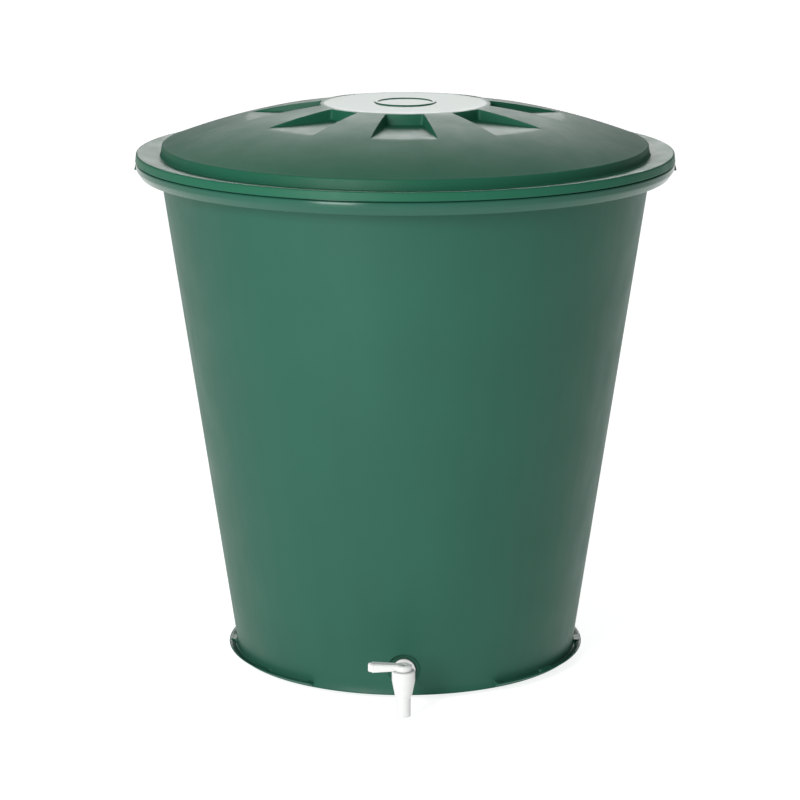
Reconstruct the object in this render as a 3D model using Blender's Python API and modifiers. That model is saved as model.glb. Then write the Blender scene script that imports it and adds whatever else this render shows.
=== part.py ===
"""Round plastic rain barrel with a lift-off domed lid and a quarter-turn plastic tap.

Metres, +Z up.  The origin is on the barrel's axis, on the ground under its foot ring.
The tap faces -Y.  The lid lifts along +Z.  The tap's plug and lever turn about a vertical
axis: at rest the lever points to -X and the water is shut off, and a quarter turn
anticlockwise from above points it to -Y and opens it.
"""
import math

import bmesh
import bpy
from mathutils import Matrix, Vector

# ---- driving dimensions ------------------------------------------------------------------
GAP = 0.0003                  # air left between two pieces that touch
TURN_STEPS = 72               # facets round the barrel and the lid
TAP_STEPS = 32                # facets round the parts of the tap

FOOT_HEIGHT = 0.008           # the foot ring lifts the wall's lower edge off the ground
FOOT_RADIUS = 0.2365          # outside of the foot ring
FOOT_WIDTH = 0.006
FLOOR_THICKNESS = 0.0038
WALL_THICKNESS = 0.0032
BASE_RADIUS = 0.2560          # outside of the wall, at its lower edge
FLARE_RADIUS = 0.2608         # the wall flares out to this at its lower edge
FLARE_HEIGHT = 0.016
NECK_RADIUS = 0.3661          # outside of the wall where it meets the rim flange
RIM_TOP = 0.7648              # top face of the rim flange, which carries the lid
RIM_RADIUS = 0.3945           # the flange's upright edge, inside the lid's skirt
RIM_THICKNESS = 0.0035
RIM_SKIN = 0.003              # thickness of the upright edge and of the bead
BEAD_RADIUS = 0.3990          # below the lid's skirt the edge bulges out flush with it
BEAD_TOP = 0.7572
BEAD_WAIST = 0.7485           # from here down the bead draws in
BEAD_BOTTOM = 0.738
BEAD_BOTTOM_RADIUS = 0.3915
TAB_RADIUS = 0.4027           # wedge-shaped finger tabs on the bead, at both sides
TAB_BOTTOM = 0.742
TAB_TOP = 0.754
TAB_HALF_WIDTH = 0.010
LEDGE_RADIUS = 0.2700         # a short ledge leans out round both sides of the foot
LEDGE_HEIGHT = 0.008
LEDGE_THICKNESS = 0.0024
LEDGE_OPEN_HALF_ANGLE = 31.0  # degrees left plain at the front and at the back
LEDGE_RIB_ANGLES = (54, 90, 126, 234, 270, 306)   # degrees from the tap
LEDGE_RIB_HALF_ANGLE = 3.0
TROUGH_TURN = 1.7             # degrees; keeps the troughs' facets out of line with the ledge's

LID_THICKNESS = 0.0026
RING_INNER_RADIUS = 0.3628    # a nearly flat ring runs round the dome's upright step
RING_INNER_Z = 0.7674
LID_RING_RADIUS = 0.3985
LID_RING_TOP = 0.7716         # the ring rises a little towards its outer edge
SKIRT_RADIUS = 0.400          # the lid's skirt leans out a little towards its lower edge
SKIRT_BOTTOM = 0.759
DOME_RADIUS = 0.3596          # the dome starts at the top of the step
DOME_EDGE_Z = 0.7825
DISC_RADIUS = 0.1206          # flat disc in the middle of the dome
DISC_Z = 0.8417
CREST_OUTER_RADIUS = 0.046    # low raised ring in the middle of the disc
CREST_TOP_RADIUS = 0.0445
CREST_INNER_RADIUS = 0.040
CREST_HEIGHT = 0.002
CREST_FLOOR = 0.0004          # the bottom of the ring's hollow, above the disc
LOCATING_RIB_RADIUS = 0.3575  # rib under the lid that centres it in the barrel's mouth
LOCATING_RIB_BOTTOM = 0.745
RECESS_COUNT = 8
RECESS_INNER_RADIUS = 0.126
RECESS_OUTER_RADIUS = 0.235
RECESS_INNER_HALF_WIDTH = 0.0277
RECESS_OUTER_HALF_WIDTH = 0.0479
RECESS_FLOOR_Z = 0.8257       # recess floor beside the disc; it runs out flush with the dome

TAP_Z = 0.047                 # height of the tap's tail
TAP_Y = -0.345                # the upright axis of the tap's chamber, plug and spout
PAD_Y = -0.2573               # flat pad moulded into the wall for the tap's gasket
PAD_RADIUS = 0.022
PAD_BACK_RADIUS = 0.026       # the same pad seen from inside the barrel
PAD_BACK_Y = -0.2533
TAIL_RADIUS = 0.0132          # 3/4 inch pipe thread, 26.4 mm
TAIL_BORE_RADIUS = 0.0085
TAIL_END_Y = -0.2385
TAIL_HOLE_RADIUS = 0.0137
FLANGE_RADIUS = 0.0168
FLANGE_THICKNESS = 0.004
TAIL_NECK_RADIUS = 0.0105     # the tail between its flange and the chamber
OUTER_GASKET_THICKNESS = 0.0025
INNER_GASKET_THICKNESS = 0.003
GASKET_HOLE_RADIUS = 0.0136
INNER_GASKET_RADIUS = 0.0182
NUT_CORNER_RADIUS = 0.0196
NUT_THICKNESS = 0.009
SPOUT_BOTTOM = 0.005
SPOUT_RADIUS = 0.0106         # hose end
SPOUT_TOP = 0.036
CHAMBER_RADIUS = 0.0124       # around the plug
CHAMBER_TOP = 0.0730
CHAMBER_TOP_RADIUS = 0.0146
SPOUT_BORE_RADIUS = 0.0065
BORE_RADIUS = 0.0098          # the plug turns in this
BORE_BOTTOM = 0.0378
PLUG_RADIUS = 0.0094
PLUG_BOTTOM = 0.0381
PLUG_SHOULDER_Z = 0.0670
PLUG_HOLLOW_RADIUS = 0.0060
PLUG_HOLLOW_TOP = 0.0540
PORT_RADIUS = 0.0055          # side hole of the plug
RING_GROOVE_RADIUS = 0.0072
RING_HEIGHTS = (0.0575, 0.0630)   # the two O-rings on the plug
RING_WIRE_RADIUS = 0.0010
RING_CENTRE_RADIUS = 0.0085
CLIP_GROOVE_RADIUS = 0.0108   # spring ring over the plug's shoulder
CLIP_BOTTOM = 0.0673
CLIP_THICKNESS = 0.0012
CLIP_OUTER_RADIUS = 0.0104
CLIP_INNER_RADIUS = 0.0072
STEM_RADIUS = 0.0066
STEM_SQUARE = 0.0084          # across flats, where the lever fits on
STEM_ROUND_TOP = 0.0730
STEM_TOP = 0.0780
HUB_RADIUS = 0.0122
HUB_BOTTOM = 0.0735
HUB_TOP = 0.0822
LEVER_Z = 0.0782
LEVER_REACH = 0.0506          # from the plug's axis to the tip
LEVER_ROOT = (0.0070, 0.0043)     # half width and half thickness where it leaves the hub
LEVER_TIP = (0.0086, 0.0066)
SCREW_HEAD_RADIUS = 0.0035
SCREW_HEAD_THICKNESS = 0.0018
SCREW_RADIUS = 0.0018
SCREW_BOTTOM = 0.0690
SCREW_SEAT_Z = 0.0797         # the screw head rests here, sunk in the hub

GREEN = (0.018, 0.100, 0.066)
WHITE = (0.86, 0.87, 0.86)
BLACK = (0.015, 0.015, 0.016)
STEEL = (0.62, 0.62, 0.60)


# ---- scene and modelling helpers -----------------------------------------------------------
def clear_scene():
    for old in list(bpy.data.objects):
        bpy.data.objects.remove(old, do_unlink=True)


def new_collection(name):
    collection = bpy.data.collections.new(name)
    bpy.context.scene.collection.children.link(collection)
    return collection


def new_material(name, colour, roughness, metallic=0.0):
    material = bpy.data.materials.new(name)
    material.use_nodes = True
    shader = material.node_tree.nodes["Principled BSDF"]
    shader.inputs["Base Color"].default_value = (*colour, 1.0)
    shader.inputs["Roughness"].default_value = roughness
    shader.inputs["Metallic"].default_value = metallic
    return material


clear_scene()
PARTS = new_collection("rain_barrel")
CUTTERS = new_collection("rain_barrel_cutters")
BARREL_AXIS = Matrix.Identity(4)
TAP_AXIS = Matrix.Translation((0.0, TAP_Y, 0.0))
# Local +Z runs out of the barrel along the tap's tail, and local z is the distance from the
# barrel's axis plane.
TAIL_AXIS = Matrix.Translation((0.0, 0.0, TAP_Z)) @ Matrix.Rotation(math.pi / 2, 4, "X")


def place(thing, collection, material=None, matrix=BARREL_AXIS):
    collection.objects.link(thing)
    thing.matrix_world = matrix
    if material is not None:
        thing.data.materials.append(material)
    if collection is CUTTERS:
        thing.hide_render = True
        thing.display_type = "WIRE"
    return thing


def smooth(thing, degrees=35.0):
    thing.data.shade_smooth()
    thing.data.set_sharp_from_angle(angle=math.radians(degrees))


def turned(name, profile, collection, material=None, matrix=BARREL_AXIS, steps=TURN_STEPS):
    """Turn a closed (radius, height) outline, listed down its outer side, about local Z."""
    mesh = bpy.data.meshes.new(name)
    points = [(radius, 0.0, height) for radius, height in profile]
    count = len(points)
    on_axis = profile[0][0] == 0.0 and profile[-1][0] == 0.0
    edges = [(i, (i + 1) % count) for i in range(count - 1 if on_axis else count)]
    mesh.from_pydata(points, edges, [])
    thing = place(bpy.data.objects.new(name, mesh), collection, material, matrix)
    screw = thing.modifiers.new("turn", "SCREW")
    screw.axis = "Z"
    screw.steps = screw.render_steps = steps
    screw.use_merge_vertices = True
    screw.merge_threshold = 0.00001
    screw.use_smooth_shade = True
    return thing


def mesh_object(name, build, collection, material=None, matrix=BARREL_AXIS):
    """Make an object from a function that fills a bmesh."""
    work = bmesh.new()
    build(work)
    bmesh.ops.recalc_face_normals(work, faces=work.faces)
    mesh = bpy.data.meshes.new(name)
    work.to_mesh(mesh)
    work.free()
    return place(bpy.data.objects.new(name, mesh), collection, material, matrix)


def boolean(thing, other, operation):
    modifier = thing.modifiers.new(other.name, "BOOLEAN")
    modifier.operation = operation
    modifier.solver = "EXACT"
    modifier.object = other


def cylinder(name, radius, low, high, matrix, steps=TAP_STEPS):
    """A round cutter from low to high along local Z."""
    return turned(name, [(0.0, high), (radius, high), (radius, low), (0.0, low)],
                  CUTTERS, None, matrix, steps)


def prism(corners_low, corners_high):
    """A function that fills a bmesh with a block given by two rings of four corners."""
    def build(work):
        cube = bmesh.ops.create_cube(work, size=1.0)["verts"]
        for vertex in cube:
            low = vertex.co.z < 0.0
            ring = corners_low if low else corners_high
            index = {(-1, -1): 0, (1, -1): 1, (1, 1): 2, (-1, 1): 3}[
                (int(math.copysign(1, vertex.co.x)), int(math.copysign(1, vertex.co.y)))]
            vertex.co = Vector(ring[index])
    return build


def turn_about_z(degrees):
    return Matrix.Rotation(math.radians(degrees), 4, "Z")


# ---- the barrel ----------------------------------------------------------------------------
def wall_radius(height):
    """Outside radius of the straight tapered wall at a height above the ground."""
    share = (height - FOOT_HEIGHT) / (RIM_TOP - RIM_THICKNESS - FOOT_HEIGHT)
    return BASE_RADIUS + share * (NECK_RADIUS - BASE_RADIUS)


def barrel_outside():
    flange_under = RIM_TOP - RIM_THICKNESS
    edge_inside = RIM_RADIUS - RIM_SKIN
    bead_inside = BEAD_RADIUS - RIM_SKIN - 0.0005
    flare_top = FOOT_HEIGHT + FLARE_HEIGHT
    foot_inside = FOOT_RADIUS - FOOT_WIDTH
    return [
        (0.0, RIM_TOP),
        (RIM_RADIUS - 0.001, RIM_TOP),
        (RIM_RADIUS, RIM_TOP - 0.001),
        (RIM_RADIUS, BEAD_TOP),
        (BEAD_RADIUS - 0.001, BEAD_TOP),
        (BEAD_RADIUS, BEAD_TOP - 0.001),
        (BEAD_RADIUS, BEAD_WAIST),
        (BEAD_BOTTOM_RADIUS + 0.0005, BEAD_BOTTOM + 0.001),
        (BEAD_BOTTOM_RADIUS - 0.0005, BEAD_BOTTOM),
        (BEAD_BOTTOM_RADIUS - RIM_SKIN, BEAD_BOTTOM),
        (bead_inside, BEAD_WAIST),
        (bead_inside, BEAD_TOP - 0.003),
        (edge_inside, BEAD_TOP),
        (edge_inside, flange_under),
        (NECK_RADIUS, flange_under),
        (wall_radius(flare_top), flare_top),
        (wall_radius(FOOT_HEIGHT) + 0.002, FOOT_HEIGHT + 0.007),
        (FLARE_RADIUS, FOOT_HEIGHT + 0.0015),
        (FLARE_RADIUS, FOOT_HEIGHT),
        (FOOT_RADIUS, FOOT_HEIGHT),
        (FOOT_RADIUS, 0.0),
        (foot_inside, 0.0),
        (foot_inside, FOOT_HEIGHT),
        (0.0, FOOT_HEIGHT),
    ]


def barrel_inside():
    floor = FOOT_HEIGHT + FLOOR_THICKNESS
    above = RIM_TOP + 0.02
    mouth = NECK_RADIUS - WALL_THICKNESS + 0.0005
    return [
        (0.0, above),
        (mouth, above),
        (mouth, RIM_TOP - 0.004),
        (wall_radius(floor + 0.009) - WALL_THICKNESS, floor + 0.009),
        (wall_radius(floor) - WALL_THICKNESS - 0.003, floor + 0.0025),
        (wall_radius(floor) - WALL_THICKNESS - 0.009, floor),
        (0.0, floor),
    ]


def make_barrel(material):
    body = turned("barrel_body", barrel_outside(), PARTS, material)
    inside = turned("barrel_inside", barrel_inside(), CUTTERS)
    outward = -PAD_Y
    pad = cylinder("tap_pad", PAD_RADIUS, outward, outward + 0.03, TAIL_AXIS)
    pad_back = cylinder("tap_pad_back", PAD_BACK_RADIUS, -PAD_BACK_Y, outward + 0.03, TAIL_AXIS)
    hole = cylinder("tap_hole", TAIL_HOLE_RADIUS, outward - 0.02, outward + 0.02, TAIL_AXIS)
    boolean(inside, pad_back, "DIFFERENCE")
    boolean(body, pad, "DIFFERENCE")
    for side in (0, 1):
        boolean(body, finger_tab(side), "UNION")
    boolean(body, foot_ledge(), "UNION")
    boolean(body, inside, "DIFFERENCE")
    boolean(body, hole, "DIFFERENCE")
    smooth(body)


def sector_block(name, angle, half_angle):
    """A wedge of space at the foot, on both sides of an angle counted from the tap."""
    near, far = 0.20, 0.36
    low, high = FOOT_HEIGHT - 0.01, FOOT_HEIGHT + 0.04
    swing = math.radians(half_angle)
    corners = [(-far * math.sin(swing), -far * math.cos(swing)),
               (far * math.sin(swing), -far * math.cos(swing)),
               (near * math.sin(swing), -near * math.cos(swing)),
               (-near * math.sin(swing), -near * math.cos(swing))]
    return mesh_object("%s_%03d" % (name, angle),
                       prism([(x, y, low) for x, y in corners], [(x, y, high) for x, y in corners]),
                       CUTTERS, None, turn_about_z(angle))


def finger_tab(side):
    """A wedge on the rim's bead that leans out towards its lower end."""
    half = TAB_HALF_WIDTH
    root_low, root_high = BEAD_BOTTOM_RADIUS + 0.001, BEAD_RADIUS - 0.002
    corners_low = [(root_low, -half, TAB_BOTTOM), (TAB_RADIUS, -half, TAB_BOTTOM),
                   (TAB_RADIUS, half, TAB_BOTTOM), (root_low, half, TAB_BOTTOM)]
    tip_high = BEAD_RADIUS + 0.0005
    corners_high = [(root_high, -half, TAB_TOP), (tip_high, -half, TAB_TOP),
                    (tip_high, half, TAB_TOP), (root_high, half, TAB_TOP)]
    return mesh_object("finger_tab_%d" % side, prism(corners_low, corners_high), CUTTERS, None,
                       turn_about_z(180 * side))


def foot_ledge():
    """Ledge round the left and the right of the foot, leaning out, joined to the wall by ribs."""
    top = FOOT_HEIGHT + LEDGE_HEIGHT
    low = FOOT_HEIGHT + 0.0015
    start = FLARE_RADIUS - 0.003
    root = BASE_RADIUS - 0.001
    slope = (LEDGE_RADIUS - start) / (top - 0.001 - low)
    ledge = turned("foot_ledge", [
        (LEDGE_RADIUS - 0.001, top),
        (LEDGE_RADIUS, top - 0.001),
        (start, low),
        (root - 0.001, low),
        (root, top),
    ], CUTTERS)
    for angle in (0, 180):
        boolean(ledge, sector_block("ledge_gap", angle, LEDGE_OPEN_HALF_ANGLE), "DIFFERENCE")
    boolean(ledge, foot_troughs(slope), "DIFFERENCE")
    return ledge


def foot_troughs(slope):
    """The air between the ledge's lip and the wall, left out where the ribs are."""
    top = FOOT_HEIGHT + LEDGE_HEIGHT
    floor = top - 0.004
    above = top + 0.002
    lip = LEDGE_RADIUS - LEDGE_THICKNESS
    trough = turned("foot_troughs", [
        (lip + slope * 0.002, above),
        (lip - slope * (top - floor), floor),
        (BASE_RADIUS - 0.006, floor),
        (BASE_RADIUS - 0.006, above),
    ], CUTTERS, None, turn_about_z(TROUGH_TURN))
    for angle in LEDGE_RIB_ANGLES:
        boolean(trough, sector_block("ledge_rib", angle, LEDGE_RIB_HALF_ANGLE), "DIFFERENCE")
    return trough


# ---- the lid -------------------------------------------------------------------------------
def dome_height(radius, depth=0.0):
    """Height of the dome, or of the surface that lies depth under it."""
    rise = DISC_Z - DOME_EDGE_Z
    centre = (DOME_RADIUS ** 2 - DISC_RADIUS ** 2 - rise ** 2) / (2 * rise)
    sphere = math.hypot(DOME_RADIUS, centre)
    return DOME_EDGE_Z - centre + math.sqrt((sphere - depth) ** 2 - radius ** 2)


def dome_points(start, end, count, depth=0.0):
    step = (end - start) / count
    return [(start + step * i, dome_height(start + step * i, depth)) for i in range(count + 1)]


def lid_outside():
    crest_floor = DISC_Z + CREST_FLOOR
    crest_top = DISC_Z + CREST_HEIGHT
    outline = [
        (0.0, crest_floor),
        (CREST_INNER_RADIUS - 0.0005, crest_floor),
        (CREST_INNER_RADIUS + 0.0005, crest_top),
        (CREST_TOP_RADIUS, crest_top),
        (CREST_OUTER_RADIUS, DISC_Z),
    ]
    outline += dome_points(DISC_RADIUS, DOME_RADIUS, 9)
    outline += [
        (DOME_RADIUS + 0.0012, DOME_EDGE_Z - 0.0012),
        (RING_INNER_RADIUS, RING_INNER_Z),
        (LID_RING_RADIUS - 0.0015, LID_RING_TOP),
        (LID_RING_RADIUS, LID_RING_TOP - 0.0015),
        (SKIRT_RADIUS, SKIRT_BOTTOM),
        (0.0, SKIRT_BOTTOM),
    ]
    return outline


def lid_inside():
    rib_inside = LOCATING_RIB_RADIUS - LID_THICKNESS
    below = SKIRT_BOTTOM - 0.02
    outline = [(0.0, DISC_Z - LID_THICKNESS)]
    outline += dome_points(DISC_RADIUS, rib_inside, 8, LID_THICKNESS)
    outline += [
        (rib_inside, LOCATING_RIB_BOTTOM),
        (LOCATING_RIB_RADIUS, LOCATING_RIB_BOTTOM),
        (LOCATING_RIB_RADIUS, dome_height(LOCATING_RIB_RADIUS, LID_THICKNESS) - 0.001),
        (RING_INNER_RADIUS - LID_THICKNESS, RING_INNER_Z - LID_THICKNESS),
        (LID_RING_RADIUS - LID_THICKNESS, LID_RING_TOP - LID_THICKNESS),
        (SKIRT_RADIUS - LID_THICKNESS, SKIRT_BOTTOM),
        (SKIRT_RADIUS - LID_THICKNESS, below),
        (0.0, below),
    ]
    return outline


def recess_floor(radius):
    run_out = dome_height(RECESS_OUTER_RADIUS)
    share = (radius - RECESS_INNER_RADIUS) / (RECESS_OUTER_RADIUS - RECESS_INNER_RADIUS)
    return RECESS_FLOOR_Z + share * (run_out - RECESS_FLOOR_Z)


def recess_half_width(radius):
    share = (radius - RECESS_INNER_RADIUS) / (RECESS_OUTER_RADIUS - RECESS_INNER_RADIUS)
    return RECESS_INNER_HALF_WIDTH + share * (RECESS_OUTER_HALF_WIDTH - RECESS_INNER_HALF_WIDTH)


def recess_block(name, angle, margin):
    """The air of one recess, or with a margin the air and the skin of plastic around it."""
    inner = RECESS_INNER_RADIUS - margin
    outer = RECESS_OUTER_RADIUS + 0.02
    top = DISC_Z + 0.02
    lean = 0.0015             # the upright sides open a little towards the top

    def ring(grow, height):
        near = recess_half_width(inner) + margin + grow
        far = recess_half_width(outer) + margin + grow
        z_inner = recess_floor(inner) - margin if height is None else height
        z_outer = recess_floor(outer) - margin if height is None else height
        return [(-far, -outer, z_outer), (far, -outer, z_outer),
                (near, -inner + grow, z_inner), (-near, -inner + grow, z_inner)]

    return mesh_object(name, prism(ring(0.0, None), ring(lean, top)), CUTTERS, None,
                       turn_about_z(angle))


def make_lid(material):
    lid = turned("lid", lid_outside(), PARTS, material)
    inside = turned("lid_inside", lid_inside(), CUTTERS)
    for index in range(RECESS_COUNT):
        angle = index * 360 / RECESS_COUNT
        boolean(inside, recess_block("recess_skin_%d" % index, angle, LID_THICKNESS), "DIFFERENCE")
        boolean(lid, recess_block("recess_%d" % index, angle, 0.0), "DIFFERENCE")
    boolean(lid, inside, "DIFFERENCE")
    smooth(lid)


# ---- the tap -------------------------------------------------------------------------------
def make_tap_body(material):
    """Tail, flange, upright chamber and hose end in one moulding, bored for the plug."""
    body = turned("tap_body", [
        (0.0, CHAMBER_TOP),
        (CHAMBER_TOP_RADIUS - 0.0006, CHAMBER_TOP),
        (CHAMBER_TOP_RADIUS, CHAMBER_TOP - 0.0006),
        (CHAMBER_TOP_RADIUS, CHAMBER_TOP - 0.014),
        (CHAMBER_RADIUS, SPOUT_TOP + 0.001),
        (SPOUT_RADIUS + 0.001, SPOUT_TOP - 0.001),
        (SPOUT_RADIUS, SPOUT_TOP - 0.003),
        (SPOUT_RADIUS, SPOUT_BOTTOM + 0.0006),
        (SPOUT_RADIUS - 0.0006, SPOUT_BOTTOM),
        (0.0, SPOUT_BOTTOM),
    ], PARTS, material, TAP_AXIS, TAP_STEPS)
    flange_low = -PAD_Y + OUTER_GASKET_THICKNESS + 2 * GAP
    flange_high = flange_low + FLANGE_THICKNESS
    tail = turned("tap_tail", [
        (0.0, -TAP_Y),
        (TAIL_NECK_RADIUS, -TAP_Y),
        (TAIL_NECK_RADIUS, flange_high + 0.002),
        (TAIL_NECK_RADIUS + 0.002, flange_high),
        (FLANGE_RADIUS - 0.0006, flange_high),
        (FLANGE_RADIUS, flange_high - 0.0006),
        (FLANGE_RADIUS, flange_low),
        (TAIL_RADIUS, flange_low),
        (TAIL_RADIUS, -TAIL_END_Y + 0.001),
        (TAIL_RADIUS - 0.001, -TAIL_END_Y),
        (0.0, -TAIL_END_Y),
    ], CUTTERS, None, TAIL_AXIS, TAP_STEPS)
    chamber_bore = turned("tap_chamber_bore", [
        (0.0, CHAMBER_TOP + 0.01),
        (BORE_RADIUS, CHAMBER_TOP + 0.01),
        (BORE_RADIUS, CLIP_BOTTOM + CLIP_THICKNESS + GAP),
        (CLIP_GROOVE_RADIUS, CLIP_BOTTOM + CLIP_THICKNESS + GAP),
        (CLIP_GROOVE_RADIUS, CLIP_BOTTOM - GAP),
        (BORE_RADIUS, CLIP_BOTTOM - GAP),
        (BORE_RADIUS, BORE_BOTTOM),
        (SPOUT_BORE_RADIUS, BORE_BOTTOM - 0.002),
        (SPOUT_BORE_RADIUS, SPOUT_BOTTOM - 0.01),
        (0.0, SPOUT_BOTTOM - 0.01),
    ], CUTTERS, None, TAP_AXIS, TAP_STEPS)
    port_start = -TAP_Y - 0.004
    tail_bore = turned("tap_tail_bore", [
        (0.0, port_start),
        (PORT_RADIUS, port_start),
        (PORT_RADIUS, -TAP_Y - CHAMBER_RADIUS - 0.003),
        (TAIL_BORE_RADIUS, -TAP_Y - CHAMBER_RADIUS - 0.006),
        (TAIL_BORE_RADIUS, -TAIL_END_Y - 0.01),
        (0.0, -TAIL_END_Y - 0.01),
    ], CUTTERS, None, TAIL_AXIS, TAP_STEPS)
    boolean(body, tail, "UNION")
    boolean(body, chamber_bore, "DIFFERENCE")
    boolean(body, tail_bore, "DIFFERENCE")
    smooth(body)


def make_tap_plug(material):
    """The turning plug: hollow below with one side hole, two ring grooves, a square stem."""
    outline = [(0.0, STEM_ROUND_TOP), (STEM_RADIUS, STEM_ROUND_TOP),
               (STEM_RADIUS, PLUG_SHOULDER_Z), (PLUG_RADIUS, PLUG_SHOULDER_Z)]
    half = RING_WIRE_RADIUS + GAP
    for height in reversed(RING_HEIGHTS):
        outline += [(PLUG_RADIUS, height + half), (RING_GROOVE_RADIUS, height + half),
                    (RING_GROOVE_RADIUS, height - half), (PLUG_RADIUS, height - half)]
    outline += [(PLUG_RADIUS, PLUG_BOTTOM), (PLUG_HOLLOW_RADIUS, PLUG_BOTTOM),
                (PLUG_HOLLOW_RADIUS, PLUG_HOLLOW_TOP), (0.0, PLUG_HOLLOW_TOP)]
    plug = turned("tap_plug", outline, PARTS, material, TAP_AXIS, TAP_STEPS)
    side = STEM_SQUARE / 2
    square = [(-side, -side), (side, -side), (side, side), (-side, side)]
    stem = mesh_object("tap_stem", prism([(x, y, STEM_ROUND_TOP - 0.002) for x, y in square],
                                         [(x, y, STEM_TOP) for x, y in square]),
                       CUTTERS, None, TAP_AXIS)
    port_axis = TAP_AXIS @ Matrix.Translation((0, 0, TAP_Z)) @ Matrix.Rotation(math.pi / 2, 4, "Y")
    port = cylinder("plug_port", PORT_RADIUS, 0.0, 0.02, port_axis, 20)
    screw_hole = cylinder("plug_screw_hole", SCREW_RADIUS + GAP, SCREW_BOTTOM - 0.001,
                          STEM_TOP + 0.01, TAP_AXIS, 12)
    boolean(plug, stem, "UNION")
    boolean(plug, port, "DIFFERENCE")
    boolean(plug, screw_hole, "DIFFERENCE")
    smooth(plug)


def make_tap_lever(material):
    """Round hub with a flat arm that widens towards its tip, at rest along -X."""
    lever = turned("tap_lever", [
        (0.0, HUB_TOP),
        (HUB_RADIUS - 0.0035, HUB_TOP),
        (HUB_RADIUS - 0.001, HUB_TOP - 0.0012),
        (HUB_RADIUS, HUB_TOP - 0.0035),
        (HUB_RADIUS, HUB_BOTTOM),
        (0.0, HUB_BOTTOM),
    ], PARTS, material, TAP_AXIS, TAP_STEPS)

    def build_arm(work):
        prism(arm_ring(-1), arm_ring(1))(work)
        bmesh.ops.bevel(work, geom=work.edges[:], offset=0.0018, segments=2, affect="EDGES",
                        clamp_overlap=True)

    def arm_ring(sign):
        half_width, half_thick = LEVER_TIP
        root_width, root_thick = LEVER_ROOT
        root_x = -0.006
        return [(-LEVER_REACH, -half_width, LEVER_Z + sign * half_thick),
                (root_x, -root_width, LEVER_Z + sign * root_thick),
                (root_x, root_width, LEVER_Z + sign * root_thick),
                (-LEVER_REACH, half_width, LEVER_Z + sign * half_thick)]

    arm = mesh_object("lever_arm", build_arm, CUTTERS, None, TAP_AXIS)
    side = STEM_SQUARE / 2 + GAP
    square = [(-side, -side), (side, -side), (side, side), (-side, side)]
    socket = mesh_object("lever_socket", prism([(x, y, HUB_BOTTOM - 0.002) for x, y in square],
                                               [(x, y, STEM_TOP + GAP) for x, y in square]),
                         CUTTERS, None, TAP_AXIS)
    screw_hole = turned("lever_screw_hole", [
        (0.0, HUB_TOP + 0.005),
        (SCREW_HEAD_RADIUS + GAP, HUB_TOP + 0.005),
        (SCREW_HEAD_RADIUS + GAP, SCREW_SEAT_Z - GAP),
        (SCREW_RADIUS + GAP, SCREW_SEAT_Z - GAP),
        (SCREW_RADIUS + GAP, STEM_TOP - 0.004),
        (0.0, STEM_TOP - 0.004),
    ], CUTTERS, None, TAP_AXIS, 20)
    boolean(lever, arm, "UNION")
    boolean(lever, socket, "DIFFERENCE")
    boolean(lever, screw_hole, "DIFFERENCE")
    smooth(lever)


def make_lever_screw(material):
    screw = turned("lever_screw", [
        (0.0, SCREW_SEAT_Z + SCREW_HEAD_THICKNESS),
        (SCREW_HEAD_RADIUS - 0.0005, SCREW_SEAT_Z + SCREW_HEAD_THICKNESS),
        (SCREW_HEAD_RADIUS, SCREW_SEAT_Z + SCREW_HEAD_THICKNESS - 0.0005),
        (SCREW_HEAD_RADIUS, SCREW_SEAT_Z),
        (SCREW_RADIUS, SCREW_SEAT_Z),
        (SCREW_RADIUS, SCREW_BOTTOM),
        (0.0, SCREW_BOTTOM),
    ], PARTS, material, TAP_AXIS, 20)
    smooth(screw)


def make_plug_rings(material):
    for name, height in zip(("plug_ring_lower", "plug_ring_upper"), RING_HEIGHTS):
        angle = math.tau / 8
        circle = [(RING_CENTRE_RADIUS + RING_WIRE_RADIUS * math.sin((i + 0.5) * angle),
                   height + RING_WIRE_RADIUS * math.cos((i + 0.5) * angle)) for i in range(8)]
        smooth(turned(name, circle, PARTS, material, TAP_AXIS, 24), 80.0)


def make_plug_clip(material):
    """An open spring ring in the chamber's groove, over the plug's shoulder."""
    top, bottom = CLIP_BOTTOM + CLIP_THICKNESS, CLIP_BOTTOM
    clip = turned("plug_clip", [
        (CLIP_OUTER_RADIUS, top), (CLIP_OUTER_RADIUS, bottom),
        (CLIP_INNER_RADIUS, bottom), (CLIP_INNER_RADIUS, top),
    ], PARTS, material, TAP_AXIS, 24)
    half = 0.002
    low, high = bottom - 0.002, top + 0.002
    corners = [(-half, 0.002), (half, 0.002), (half, 0.02), (-half, 0.02)]
    opening = mesh_object("clip_opening", prism([(x, y, low) for x, y in corners],
                                                [(x, y, high) for x, y in corners]),
                          CUTTERS, None, TAP_AXIS)
    boolean(clip, opening, "DIFFERENCE")
    smooth(clip)


def washer(name, hole_radius, radius, low, high, material):
    ring = turned(name, [(radius, high), (radius, low), (hole_radius, low), (hole_radius, high)],
                  PARTS, material, TAIL_AXIS, TAP_STEPS)
    smooth(ring)


def make_gaskets(material):
    """Flat rubber washers, one on each side of the barrel's wall."""
    outer_low = -PAD_Y + GAP
    washer("tap_outer_gasket", GASKET_HOLE_RADIUS, FLANGE_RADIUS, outer_low,
           outer_low + OUTER_GASKET_THICKNESS, material)
    inner_high = -PAD_BACK_Y - GAP
    washer("tap_inner_gasket", GASKET_HOLE_RADIUS, INNER_GASKET_RADIUS,
           inner_high - INNER_GASKET_THICKNESS, inner_high, material)


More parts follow.
